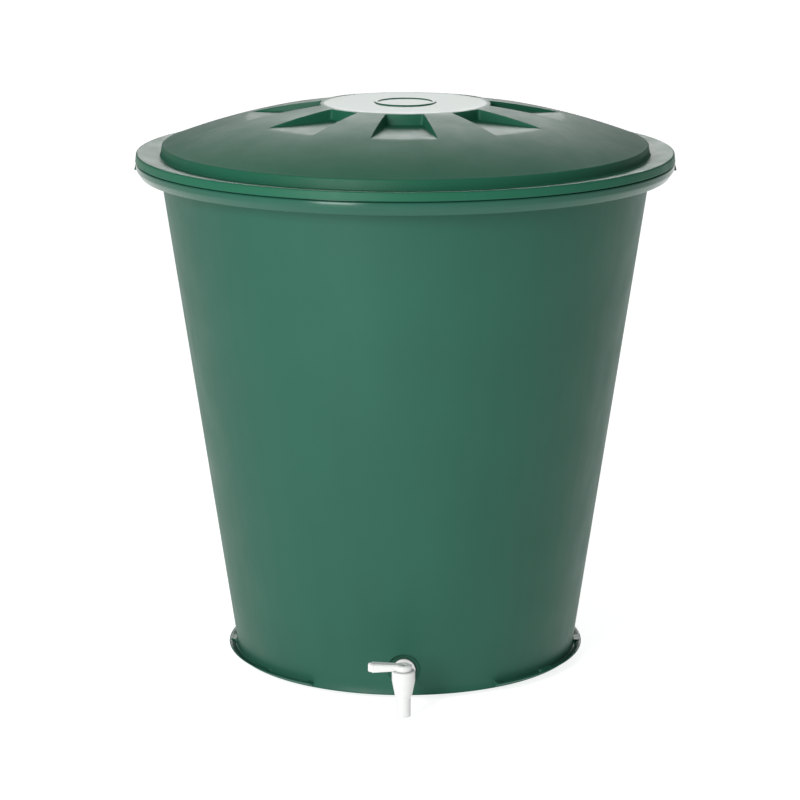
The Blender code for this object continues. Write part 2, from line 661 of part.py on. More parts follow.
def make_lock_nut(material):
    """Hexagon nut on the tail, inside the barrel."""
    high = -PAD_BACK_Y - 2 * GAP - INNER_GASKET_THICKNESS
    low = high - NUT_THICKNESS

    def build(work):
        bmesh.ops.create_cone(work, cap_ends=True, segments=6, radius1=NUT_CORNER_RADIUS,
                              radius2=NUT_CORNER_RADIUS, depth=NUT_THICKNESS,
                              matrix=Matrix.Translation((0, 0, (low + high) / 2)))

    nut = mesh_object("tap_lock_nut", build, PARTS, material, TAIL_AXIS)
    boolean(nut, cylinder("nut_bore", TAIL_RADIUS + GAP, low - 0.01, high + 0.01, TAIL_AXIS),
            "DIFFERENCE")
    smooth(nut)


green = new_material("green_polypropylene", GREEN, 0.45)
lid_green = new_material("green_polypropylene_lid", GREEN, 0.42)
white = new_material("white_polypropylene", WHITE, 0.35)
plug_white = new_material("white_acetal", (0.80, 0.81, 0.80), 0.30)
rubber = new_material("black_rubber", BLACK, 0.70)
steel = new_material("stainless_steel", STEEL, 0.30, 1.0)

make_barrel(green)
make_lid(lid_green)
make_tap_body(white)
make_tap_plug(plug_white)
make_tap_lever(white)
make_lever_screw(steel)
make_plug_rings(rubber)
make_plug_clip(steel)
make_gaskets(rubber)
make_lock_nut(plug_white)
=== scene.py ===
"""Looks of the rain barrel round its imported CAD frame: fine surfaces, materials, floor, light, camera.

Metres, +Z up, in the CAD's own frame.  Angles round the barrel are counted in degrees from the
tap, which faces -Y, and grow towards +X.
"""
import math

import bmesh
import bpy
import numpy as np
from mathutils import Matrix, Vector


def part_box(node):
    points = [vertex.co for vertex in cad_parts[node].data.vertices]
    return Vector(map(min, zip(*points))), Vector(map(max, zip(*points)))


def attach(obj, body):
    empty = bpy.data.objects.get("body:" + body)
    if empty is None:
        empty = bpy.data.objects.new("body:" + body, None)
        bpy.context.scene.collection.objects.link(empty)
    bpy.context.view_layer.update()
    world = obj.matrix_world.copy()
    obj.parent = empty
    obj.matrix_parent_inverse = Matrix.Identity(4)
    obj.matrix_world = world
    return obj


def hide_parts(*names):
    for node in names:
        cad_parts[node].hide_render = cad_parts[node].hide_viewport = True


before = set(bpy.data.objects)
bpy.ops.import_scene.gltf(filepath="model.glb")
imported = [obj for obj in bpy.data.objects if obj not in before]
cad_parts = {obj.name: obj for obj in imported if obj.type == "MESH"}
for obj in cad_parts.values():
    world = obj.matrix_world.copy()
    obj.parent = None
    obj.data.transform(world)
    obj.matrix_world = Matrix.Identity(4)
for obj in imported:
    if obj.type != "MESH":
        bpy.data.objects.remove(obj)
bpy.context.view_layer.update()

# ---- sizes read from the frame -------------------------------------------------------------
barrel_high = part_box("barrel_body")[1]
lid_low, lid_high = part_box("lid")
tap_low, tap_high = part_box("tap_body")
plug_low, plug_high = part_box("tap_plug")
lever_low, lever_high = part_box("tap_lever")
gasket_low, gasket_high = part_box("tap_outer_gasket")
seal_low, seal_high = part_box("tap_inner_gasket")
nut_low, nut_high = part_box("tap_lock_nut")
screw_low, screw_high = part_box("lever_screw")
clip_low, clip_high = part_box("plug_clip")

BEAD_RADIUS = barrel_high.y
TAB_RADIUS = barrel_high.x
RIM_TOP = barrel_high.z
SKIRT_RADIUS = lid_high.y
LOCATING_RIB_BOTTOM = lid_low.z
CREST_TOP = lid_high.z
TAP_Y = (plug_low.y + plug_high.y) / 2
TAP_Z = (gasket_low.z + gasket_high.z) / 2
PAD_Y = gasket_high.y + 0.0003
PAD_BACK_Y = seal_low.y - 0.0003

# Local +Z runs out of the barrel along the tap's tail, at the distance -y from the origin.
TAIL_AXIS = Matrix.Translation((0.0, 0.0, TAP_Z)) @ Matrix.Rotation(math.pi / 2, 4, "X")
TAP_AXIS = Matrix.Translation((0.0, TAP_Y, 0.0))

# ---- sizes of the barrel and the lid that a box doesn't give --------------------------------
FOOT_HEIGHT = 0.008
FOOT_RADIUS = 0.2365
FOOT_WIDTH = 0.006
FLOOR_THICKNESS = 0.0038
WALL_THICKNESS = 0.0032
BASE_RADIUS = 0.2560
FLARE_RADIUS = 0.2608
FLARE_HEIGHT = 0.016
NECK_RADIUS = 0.3661
RIM_RADIUS = 0.3945
RIM_THICKNESS = 0.0035
RIM_SKIN = 0.003
BEAD_TOP = 0.7572
BEAD_WAIST = 0.7485
BEAD_BOTTOM = 0.738
BEAD_BOTTOM_RADIUS = 0.3915
TAB_BOTTOM = 0.742
TAB_TOP = 0.754
TAB_HALF_WIDTH = 0.010
LEDGE_RADIUS = 0.2700
LEDGE_HEIGHT = 0.008
LEDGE_THICKNESS = 0.0024
LEDGE_ENDS = (31.0, 149.0)
TROUGH_ENDS = (33.0, 147.0)
LEDGE_RIBS = (54.0, 90.0, 126.0)
LEDGE_RIB_HALF_ANGLE = 3.0
EDGE_BLEND = 0.3              # degrees over which one foot outline turns into the next
PAD_RADIUS = 0.022
PAD_BACK_RADIUS = 0.026
PAD_BLEND = 0.0024            # width over which the pad turns into the wall
TAIL_HOLE_RADIUS = 0.0137

LID_THICKNESS = 0.0026
RING_INNER_RADIUS = 0.3628
RING_INNER_Z = 0.7674
LID_RING_RADIUS = 0.3985
LID_RING_TOP = 0.7716
SKIRT_BOTTOM = 0.759
DOME_RADIUS = 0.3596
DOME_EDGE_Z = 0.7825
DISC_RADIUS = 0.1206
DISC_Z = 0.8417
CREST_FLOOR = 0.0004
CREST_RADII = (0.040, 0.0445, 0.046)    # hollow, top, and foot of the low ring on the disc
LOCATING_RIB_RADIUS = 0.3575
RECESS_COUNT = 8
RECESS_RADII = (0.126, 0.235)
RECESS_HALF_WIDTHS = (0.0277, 0.0479)
RECESS_FLOOR_Z = 0.8257
RECESS_WALL = 0.0024          # width of the steep side in plan
RECESS_REACH = (0.11, 0.26)     # outside these radii the dome is whole
COLUMN_REACH = (0.116, 0.252)   # outside these radii the lid's columns keep their angles


# ---- mesh helpers --------------------------------------------------------------------------
LONGEST_STRETCH = 0.02        # between the rows of a turned solid


def smoothstep(value):
    held = np.clip(value, 0.0, 1.0)
    return held * held * (3.0 - 2.0 * held)


def rounded(corners, segments=4):
    """Turn (radius, height, fillet) corners into points, each corner an arc of its fillet."""
    points = []
    for index, (radius, height, fillet) in enumerate(corners):
        here = Vector((radius, height))
        if fillet == 0.0 or index in (0, len(corners) - 1):
            points.append((radius, height))
            continue
        back = Vector(corners[index - 1][:2]) - here
        ahead = Vector(corners[index + 1][:2]) - here
        half = back.angle(ahead) / 2
        trim = min(fillet / math.tan(half), 0.48 * back.length, 0.48 * ahead.length)
        start = here + back.normalized() * trim
        end = here + ahead.normalized() * trim
        middle = here + (back.normalized() + ahead.normalized()).normalized() * trim / math.cos(half)
        arm_start, arm_end = start - middle, end - middle
        for step in range(segments + 1):
            arm = arm_start.slerp(arm_end, step / segments).normalized() * arm_start.length
            points.append(tuple(middle + arm))
    return points


def divided(points, longest):
    """Add points so that no stretch is longer than a limit."""
    result = [points[0]]
    for start, end in zip(points, points[1:]):
        count = max(1, math.ceil(math.dist(start, end) / longest))
        result += [tuple(np.array(start) + (np.array(end) - np.array(start)) * step / count)
                   for step in range(1, count + 1)]
    return result


def link(name, mesh, material):
    piece = bpy.data.objects.new(name, mesh)
    bpy.context.scene.collection.objects.link(piece)
    mesh.materials.clear()
    mesh.materials.append(material)
    return piece


def shade(mesh, degrees=40.0):
    """Smooth shading, with edges sharper than an angle left sharp."""
    mesh.shade_smooth()
    mesh.set_sharp_from_angle(angle=math.radians(degrees))


def ring_mesh(name, grid, closed_loop=False):
    """Skin a grid of points: rows run along the outline, and columns round the axis.

    A row on the axis shrinks to one point.  With closed_loop the last row joins the first.
    """
    grid = np.asarray(grid, dtype=float)
    rows, columns = grid.shape[:2]
    vertices, index = [], np.empty((rows, columns), dtype=int)
    for row in range(rows):
        if np.ptp(grid[row], axis=0).max() < 1e-9:
            index[row] = len(vertices)
            vertices.append(grid[row, 0])
        else:
            index[row] = np.arange(len(vertices), len(vertices) + columns)
            vertices.extend(grid[row])
    faces = []
    for row in range(rows if closed_loop else rows - 1):
        upper, lower = index[row], index[(row + 1) % rows]
        for column in range(columns):
            after = (column + 1) % columns
            corners = (upper[column], lower[column], lower[after], upper[after])
            face = tuple(dict.fromkeys(int(corner) for corner in corners))
            if len(face) > 2:
                faces.append(face)
    mesh = bpy.data.meshes.new(name)
    mesh.from_pydata([tuple(vertex) for vertex in vertices], [], faces)
    mesh.validate()
    return mesh


def turned_grid(points, angles):
    """Sweep (radius, height) points round the axis at angles in degrees from the tap."""
    points = np.asarray(points, dtype=float)
    swing = np.radians(angles)
    grid = np.empty((len(points), len(swing), 3))
    grid[..., 0] = points[:, :1] * np.sin(swing)
    grid[..., 1] = -points[:, :1] * np.cos(swing)
    grid[..., 2] = points[:, 1:]
    return grid


def turned(name, corners, columns=96, closed_loop=False, matrix=None):
    """A turned solid from rounded corners, listed down its outer side."""
    if closed_loop:
        points = rounded([corners[-1]] + list(corners) + [corners[0]])[1:-1]
    else:
        points = rounded(corners)
    points = divided(points, LONGEST_STRETCH)
    grid = turned_grid(points, np.arange(columns) * 360.0 / columns)
    mesh = ring_mesh(name, grid, closed_loop)
    if matrix is not None:
        mesh.transform(matrix)
    return mesh


def block(name, low, high, bevel=0.0, matrix=None):
    """A box between two corners with rounded edges."""
    work = bmesh.new()
    bmesh.ops.create_cube(work, size=1.0)
    size, middle = Vector(high) - Vector(low), (Vector(high) + Vector(low)) / 2
    for vertex in work.verts:
        vertex.co = Vector((vertex.co.x * size.x, vertex.co.y * size.y, vertex.co.z * size.z)) + middle
    if bevel:
        bmesh.ops.bevel(work, geom=work.edges[:], offset=bevel, segments=3, affect="EDGES")
    mesh = bpy.data.meshes.new(name)
    work.to_mesh(mesh)
    work.free()
    if matrix is not None:
        mesh.transform(matrix)
    return mesh


def evaluated(mesh, *modifiers):
    """Apply modifiers to a mesh, each given as (type, {setting: value}), and return the result."""
    host = bpy.data.objects.new(mesh.name, mesh)
    bpy.context.scene.collection.objects.link(host)
    for kind, settings in modifiers:
        modifier = host.modifiers.new(kind, kind)
        for setting, value in settings.items():
            setattr(modifier, setting, value)
    graph = bpy.context.evaluated_depsgraph_get()
    result = bpy.data.meshes.new_from_object(host.evaluated_get(graph), depsgraph=graph)
    result.name = mesh.name
    bpy.data.objects.remove(host)
    return result


def combined(mesh, steps):
    """Join to or cut from a mesh the meshes given as (operation, mesh)."""
    helpers = []
    modifiers = []
    for operation, other in steps:
        helper = bpy.data.objects.new("helper", other)
        bpy.context.scene.collection.objects.link(helper)
        helpers.append(helper)
        modifiers.append(("BOOLEAN", {"operation": operation, "solver": "EXACT", "object": helper}))
    result = evaluated(mesh, *modifiers)
    for helper in helpers:
        bpy.data.objects.remove(helper)
    return result


def moulded(mesh, voxel, passes, keep):
    """Melt a union into one skin with soft inner and outer edges, as a moulding has."""
    skin = evaluated(mesh, ("REMESH", {"mode": "VOXEL", "voxel_size": voxel}))
    work = bmesh.new()
    work.from_mesh(skin)
    for _ in range(passes):
        bmesh.ops.smooth_vert(work, verts=work.verts, factor=0.5,
                              use_axis_x=True, use_axis_y=True, use_axis_z=True)
    work.to_mesh(skin)
    work.free()
    return evaluated(skin, ("DECIMATE", {"ratio": keep}))


# ---- the barrel ----------------------------------------------------------------------------
def wall_radius(height):
    """Outside radius of the straight tapered wall at a height."""
    share = (height - FOOT_HEIGHT) / (RIM_TOP - RIM_THICKNESS - FOOT_HEIGHT)
    return BASE_RADIUS + share * (NECK_RADIUS - BASE_RADIUS)


def band(angle, low, high):
    """1 between two angles and 0 outside them, with a short blend at each."""
    rise = smoothstep((angle - low) / EDGE_BLEND + 0.5)
    fall = smoothstep((high - angle) / EDGE_BLEND + 0.5)
    return rise * fall


def from_tap(angles):
    """Unsigned angle from the tap, 0 to 180 degrees."""
    return np.abs((np.asarray(angles) + 180.0) % 360.0 - 180.0)


FOOT_START = FOOT_HEIGHT + LEDGE_HEIGHT + 0.004


def foot_outlines():
    """The foot's outline where it is plain, where the ledge is solid, and where it is hollow."""
    top = FOOT_HEIGHT + LEDGE_HEIGHT
    floor = FOOT_HEIGHT + 0.0045
    lip_top = LEDGE_RADIUS - LEDGE_THICKNESS
    lean = (LEDGE_RADIUS - FLARE_RADIUS + 0.003) / (LEDGE_HEIGHT - 0.0025)

    def lip(height):
        return lip_top - lean * (top - height)

    outer = [
        (LEDGE_RADIUS - 0.0010, top),
        (LEDGE_RADIUS - 0.0003, top - 0.0003),
        (LEDGE_RADIUS, top - 0.0010),
        (LEDGE_RADIUS - 0.0050, top - 0.0032),
        (FLARE_RADIUS + 0.0003, FOOT_HEIGHT + 0.0018),
        (FLARE_RADIUS - 0.0005, FOOT_HEIGHT),
    ]
    hollow = [
        (wall_radius(FOOT_START), FOOT_START),
        (wall_radius(top) + 0.0006, top),
        (wall_radius(top) + 0.0010, floor + 0.0020),
        (wall_radius(floor) + 0.0016, floor + 0.0006),
        (wall_radius(floor) + 0.0024, floor),
        (lip(floor) + 0.0006, floor),
        (lip(floor + 0.0007) + 0.0002, floor + 0.0007),
        (lip(floor + 0.0018), floor + 0.0018),
        (lip(top - 0.0009), top - 0.0009),
        (lip_top + 0.0006, top),
    ] + outer
    near, far = wall_radius(top) + 0.0016, lip_top + 0.0006
    solid = [(wall_radius(FOOT_START), FOOT_START), (wall_radius(top) + 0.0005, top + 0.0007)]
    solid += [(near + (far - near) * step / 7, top) for step in range(8)] + outer
    plain = []
    for step in range(len(solid)):
        height = FOOT_START + (FOOT_HEIGHT - FOOT_START) * step / (len(solid) - 1)
        flare = max(0.0, 1.0 - (height - FOOT_HEIGHT) / FLARE_HEIGHT) ** 2
        plain.append((wall_radius(height) + (FLARE_RADIUS - BASE_RADIUS) * flare, height))
    plain[-1] = (FLARE_RADIUS - 0.0005, FOOT_HEIGHT)
    plain[-2] = (FLARE_RADIUS, FOOT_HEIGHT + 0.0008)
    return plain, solid, hollow


def barrel_columns():
    """Angles of the barrel's columns: even, closer at the tap, and at each step of the foot."""
    fine = np.arange(-6.75, 6.76, 0.27)
    even = np.arange(-180.0, 180.0, 1.5)
    even = even[np.abs(even) > 7.0]
    steps = list(LEDGE_ENDS) + list(TROUGH_ENDS)
    steps += [rib + side * LEDGE_RIB_HALF_ANGLE for rib in LEDGE_RIBS for side in (-1, 1)]
    extra = [sign * (step + shift * EDGE_BLEND) for sign in (-1, 1) for step in steps
             for shift in (-0.5, -0.17, 0.17, 0.5)]
    angles = np.sort(np.concatenate([fine, even, extra]))
    return angles[np.concatenate([[True], np.diff(angles) > 0.06])]


def pressed_flat(grid, plane, radius):
    """Push the wall back to the flat pad for the tap."""
    near = 1.0 - smoothstep((np.hypot(grid[..., 0], grid[..., 2] - TAP_Z) - radius) / PAD_BLEND)
    near = np.where(grid[..., 1] < 0.0, near, 0.0)
    grid[..., 1] += near * (np.maximum(grid[..., 1], plane) - grid[..., 1])
    return grid


def wall_heights(low, high):
    """Heights of the rows up a wall: close together at the tap, and wide above it."""
    close = np.arange(low, 0.080, 0.0013)
    wide = np.linspace(0.085, high, 34)
    return np.concatenate([close, wide])


def make_tab_mesh(side):
    """A wedge on the rim's bead that leans out towards its lower end."""
    work = bmesh.new()
    bmesh.ops.create_cube(work, size=2.0)
    for vertex in work.verts:
        upper = vertex.co.z > 0
        if vertex.co.x > 0:
            reach = BEAD_RADIUS + 0.0005 if upper else TAB_RADIUS
        else:
            reach = BEAD_RADIUS - 0.002 if upper else BEAD_BOTTOM_RADIUS + 0.001
        vertex.co = Vector((side * reach, vertex.co.y * TAB_HALF_WIDTH, TAB_TOP if upper else TAB_BOTTOM))
    bmesh.ops.recalc_face_normals(work, faces=work.faces)
    bmesh.ops.bevel(work, geom=work.edges[:], offset=0.0005, segments=2, affect="EDGES")
    mesh = bpy.data.meshes.new("tab")
    work.to_mesh(mesh)
    work.free()
    return mesh


def make_barrel_mesh():
    angles = barrel_columns()
    floor = FOOT_HEIGHT + FLOOR_THICKNESS
    corner_radius = wall_radius(floor) - WALL_THICKNESS
    inside = rounded([
        (0.0, floor, 0.0),
        (corner_radius, floor, 0.008),
        (wall_radius(0.03) - WALL_THICKNESS, 0.03, 0.0),
    ], 6)
    inside = divided(inside[:2], 0.03) + inside[2:-1]
    flange_under = RIM_TOP - RIM_THICKNESS
    for height in wall_heights(inside[-1][1] + 0.0013, flange_under - 0.014):
        inside.append((wall_radius(height) - WALL_THICKNESS, height))
    edge_inside = RIM_RADIUS - RIM_SKIN
    bead_inside = BEAD_RADIUS - RIM_SKIN - 0.0005
    rim = rounded([
        (wall_radius(flange_under - 0.010) - WALL_THICKNESS, flange_under - 0.010, 0.0),
        (NECK_RADIUS - WALL_THICKNESS + 0.0005, RIM_TOP, 0.0018),
        (RIM_RADIUS, RIM_TOP, 0.0012),
        (RIM_RADIUS, BEAD_TOP, 0.0008),
        (BEAD_RADIUS, BEAD_TOP, 0.0030),
        (BEAD_RADIUS, BEAD_WAIST, 0.006),
        (BEAD_BOTTOM_RADIUS, BEAD_BOTTOM, 0.0009),
        (BEAD_BOTTOM_RADIUS - RIM_SKIN, BEAD_BOTTOM, 0.0009),
        (bead_inside, BEAD_WAIST, 0.004),
        (bead_inside, BEAD_TOP - 0.003, 0.0012),
        (edge_inside, BEAD_TOP, 0.0012),
        (edge_inside, flange_under, 0.0015),
        (NECK_RADIUS, flange_under, 0.0022),
        (wall_radius(flange_under - 0.008), flange_under - 0.008, 0.0),
    ], 5)
    rim = divided(rim, 0.012)
    outside = [(wall_radius(height), height)
               for height in wall_heights(FOOT_START + 0.0013, flange_under - 0.012)[::-1]]
    foot_inside = FOOT_RADIUS - FOOT_WIDTH
    under = rounded([
        (FLARE_RADIUS - 0.006, FOOT_HEIGHT, 0.0),
        (FOOT_RADIUS, FOOT_HEIGHT, 0.0015),
        (FOOT_RADIUS, 0.0, 0.001),
        (foot_inside, 0.0, 0.001),
        (foot_inside, FOOT_HEIGHT, 0.0015),
        (0.0, FOOT_HEIGHT, 0.0),
    ])
    under = under[:-1] + divided(under[-2:], 0.03)[1:]

    away = from_tap(angles)
    on_ledge = band(away, *LEDGE_ENDS)[None, :, None]
    in_trough = band(away, *TROUGH_ENDS)
    for rib in LEDGE_RIBS:
        in_trough = in_trough * (1.0 - band(away, rib - LEDGE_RIB_HALF_ANGLE,
                                            rib + LEDGE_RIB_HALF_ANGLE))
    in_trough = in_trough[None, :, None]
    plain, solid, hollow = (turned_grid(outline, angles) for outline in foot_outlines())
    foot = plain + on_ledge * (solid + in_trough * (hollow - solid) - plain)

    grid = np.concatenate([
        pressed_flat(turned_grid(inside, angles), PAD_BACK_Y, PAD_BACK_RADIUS),
        turned_grid(rim, angles),
        pressed_flat(np.concatenate([turned_grid(outside, angles), foot]), PAD_Y, PAD_RADIUS),
        turned_grid(under, angles),
    ])
    mesh = ring_mesh("barrel_shell", grid)
    hole_start, hole_end = 0.30, 0.24     # from the barrel's axis, outside and inside the wall
    hole = turned("hole", [(0.0, hole_start, 0.0), (TAIL_HOLE_RADIUS, hole_start, 0.0),
                           (TAIL_HOLE_RADIUS, hole_end, 0.0), (0.0, hole_end, 0.0)], matrix=TAIL_AXIS)
    mesh = combined(mesh, [("DIFFERENCE", hole)] + [("UNION", make_tab_mesh(side)) for side in (-1, 1)])
    shade(mesh)
    return mesh


# ---- the lid -------------------------------------------------------------------------------
def dome_height(radius, depth=0.0):
    """Height of the dome, or of the surface that lies depth under it, and of the flat disc."""
    rise = DISC_Z - DOME_EDGE_Z
    centre = (DOME_RADIUS ** 2 - DISC_RADIUS ** 2 - rise ** 2) / (2 * rise)
    sphere = math.hypot(DOME_RADIUS, centre) - depth
    dome = DOME_EDGE_Z - centre + np.sqrt(sphere ** 2 - np.asarray(radius) ** 2)
    soft = 0.0004
    flat = DISC_Z - depth
    return 0.5 * (dome + flat - np.sqrt((dome - flat) ** 2 + soft ** 2))


def along_recess(radius, near, far):
    """A value that changes evenly from a recess's inner end to its outer end."""
    share = (radius - RECESS_RADII[0]) / (RECESS_RADII[1] - RECESS_RADII[0])
    return near + share * (far - near)


def recess_half_angle(radius, margin):
    """Half the angle in degrees that a recess spans at a radius."""
    width = along_recess(radius, *RECESS_HALF_WIDTHS) + margin
    return np.degrees(np.arcsin(width / radius))


def lid_columns(radius, margin):
    """Angles of the lid's columns at a radius: they follow the steep sides of the recesses."""
    held = min(max(radius, COLUMN_REACH[0]), COLUMN_REACH[1])
    edge = recess_half_angle(held, margin)
    across = np.array([1.6, 1.0, 0.83, 0.66, 0.5, 0.34, 0.17, 0.0, -0.3, -0.8, -1.6]) * RECESS_WALL
    sides = edge - np.degrees(across / held)
    inner = np.linspace(0.0, sides[0], 10)[:-1]
    outer = np.linspace(sides[-1], 180.0 / RECESS_COUNT, 7)[1:]
    half = np.concatenate([inner, sides, outer])
    sector = np.concatenate([-half[-2:0:-1], half])
    return np.concatenate([sector + 360.0 * index / RECESS_COUNT for index in range(RECESS_COUNT)])


def recessed_height(radius, angles, margin):
    """Height of the dome with its recesses, or of the skin's underside with a margin."""
    spacing = 360.0 / RECESS_COUNT
    local = np.abs((angles + spacing / 2) % spacing - spacing / 2)
    dome = dome_height(radius, margin)
    if not RECESS_REACH[0] < radius < RECESS_REACH[1]:
        return np.full(len(angles), dome)
    floor = along_recess(radius, RECESS_FLOOR_Z, dome_height(RECESS_RADII[1])) - margin
    side = np.radians(recess_half_angle(radius, margin) - local) * radius
    end = np.full_like(side, radius - RECESS_RADII[0] + margin)
    corner = 0.004
    mix = np.clip(0.5 + 0.5 * (end - side) / corner, 0.0, 1.0)
    inside = end + (side - end) * mix - corner * mix * (1.0 - mix)
    soft = 0.0006
    gap = dome - floor
    depth = 0.5 * (gap + math.sqrt(gap ** 2 + soft ** 2))
    return dome - smoothstep(inside / RECESS_WALL) * depth


def recess_radii(margin):
    """Radii of the rows over disc and dome: close at the steep inner side and the run-out."""
    start = RECESS_RADII[0] - margin
    radii = np.concatenate([
        np.linspace(CREST_RADII[2] + 0.008, DISC_RADIUS - 0.006, 8),
        DISC_RADIUS + np.array([-0.003, -0.0012, 0.0, 0.0012]),
        start + RECESS_WALL * np.array([-0.5, -0.15, 0.0, 0.15, 0.32, 0.5, 0.68, 0.85, 1.0, 1.5, 2.4]),
        np.linspace(0.134, RECESS_RADII[1] - 0.009, 13),
        np.linspace(RECESS_RADII[1] - 0.007, RECESS_RADII[1] + 0.007, 10),
        np.linspace(RECESS_RADII[1] + 0.012, LOCATING_RIB_RADIUS - LID_THICKNESS - 0.003, 11),
    ])
    return np.unique(np.round(radii, 4))


def make_lid_mesh():
    hollow, top, foot = CREST_RADII
    rib_inside = LOCATING_RIB_RADIUS - LID_THICKNESS
    start = LOCATING_RIB_RADIUS - 0.001
    crest = rounded([
        (0.0, DISC_Z + CREST_FLOOR, 0.0),
        (hollow - 0.0005, DISC_Z + CREST_FLOOR, 0.0006),
        (hollow + 0.0005, CREST_TOP, 0.0008),
        (top, CREST_TOP, 0.0008),
        (foot, DISC_Z, 0.0008),
        (foot + 0.004, DISC_Z, 0.0),
    ])
    edge = rounded([
        (start, float(dome_height(start)), 0.0),
        (DOME_RADIUS + 0.0006, DOME_EDGE_Z, 0.0026),
        (RING_INNER_RADIUS, RING_INNER_Z, 0.0012),
        (LID_RING_RADIUS, LID_RING_TOP, 0.0022),
        (SKIRT_RADIUS, SKIRT_BOTTOM, 0.0006),
        (SKIRT_RADIUS - LID_THICKNESS, SKIRT_BOTTOM, 0.0006),
        (LID_RING_RADIUS - LID_THICKNESS, LID_RING_TOP - LID_THICKNESS, 0.0015),
        (RING_INNER_RADIUS - LID_THICKNESS, RING_INNER_Z - LID_THICKNESS, 0.0008),
        (LOCATING_RIB_RADIUS, float(dome_height(LOCATING_RIB_RADIUS, LID_THICKNESS)) - 0.001, 0.0008),
        (LOCATING_RIB_RADIUS, LOCATING_RIB_BOTTOM, 0.0009),
        (rib_inside, LOCATING_RIB_BOTTOM, 0.0009),
        (rib_inside, float(dome_height(rib_inside, LID_THICKNESS)), 0.0),
    ])
    edge = divided(edge, 0.0022)
    rows = []
    for radius, height in divided(crest, 0.008):
        angles = lid_columns(radius, 0.0)
        rows.append(turned_grid([(radius, height)], angles)[0])
    for radius in recess_radii(0.0):
        angles = lid_columns(radius, 0.0)
        row = turned_grid([(radius, 0.0)], angles)[0]
        row[:, 2] = recessed_height(radius, angles, 0.0)
        rows.append(row)
    for radius, height in edge:
        rows.append(turned_grid([(radius, height)], lid_columns(radius, 0.0))[0])
    for radius in recess_radii(LID_THICKNESS)[::-1]:
        angles = lid_columns(radius, LID_THICKNESS)
        row = turned_grid([(radius, 0.0)], angles)[0]
        row[:, 2] = recessed_height(radius, angles, LID_THICKNESS)
        rows.append(row)
    rows.append(turned_grid([(0.0, DISC_Z - LID_THICKNESS)], lid_columns(0.0, 0.0))[0])
    mesh = ring_mesh("lid_shell", rows)
    shade(mesh)
    return mesh


# ---- the tap -------------------------------------------------------------------------------
SPOUT_BOTTOM = tap_low.z
SPOUT_TOP = 0.036
SPOUT_RADIUS = 0.0106
SPOUT_BORE_RADIUS = 0.0065
CHAMBER_TOP = tap_high.z
CHAMBER_TOP_RADIUS = tap_high.x
CHAMBER_RADIUS = 0.0124
BORE_RADIUS = 0.0098
BORE_BOTTOM = 0.0378
CLIP_GROOVE_RADIUS = 0.0108
TAIL_NECK_RADIUS = 0.0105
TAIL_RADIUS = 0.0132
TAIL_BORE_RADIUS = 0.0085
TAIL_END = -tap_high.y
FLANGE_RADIUS = (gasket_high.x - gasket_low.x) / 2
FLANGE_LOW = -gasket_low.y + 0.0003
FLANGE_HIGH = FLANGE_LOW + 0.004
THREAD_PITCH = 0.0018
THREAD_DEPTH = 0.0007
PORT_RADIUS = 0.0055
GASKET_HOLE_RADIUS = 0.0136


def thread_outline(crest, root, low, high):
    """(radius, height, fillet) corners of ridges between two heights, listed downwards."""
    corners = []
    height = high
    while height > low + THREAD_PITCH:
        corners += [(root, height, 0.0), (root, height - 0.2 * THREAD_PITCH, 0.0),
                    (crest, height - 0.45 * THREAD_PITCH, 0.0),
                    (crest, height - 0.7 * THREAD_PITCH, 0.0)]
        height -= THREAD_PITCH
    return corners + [(root, height, 0.0)]


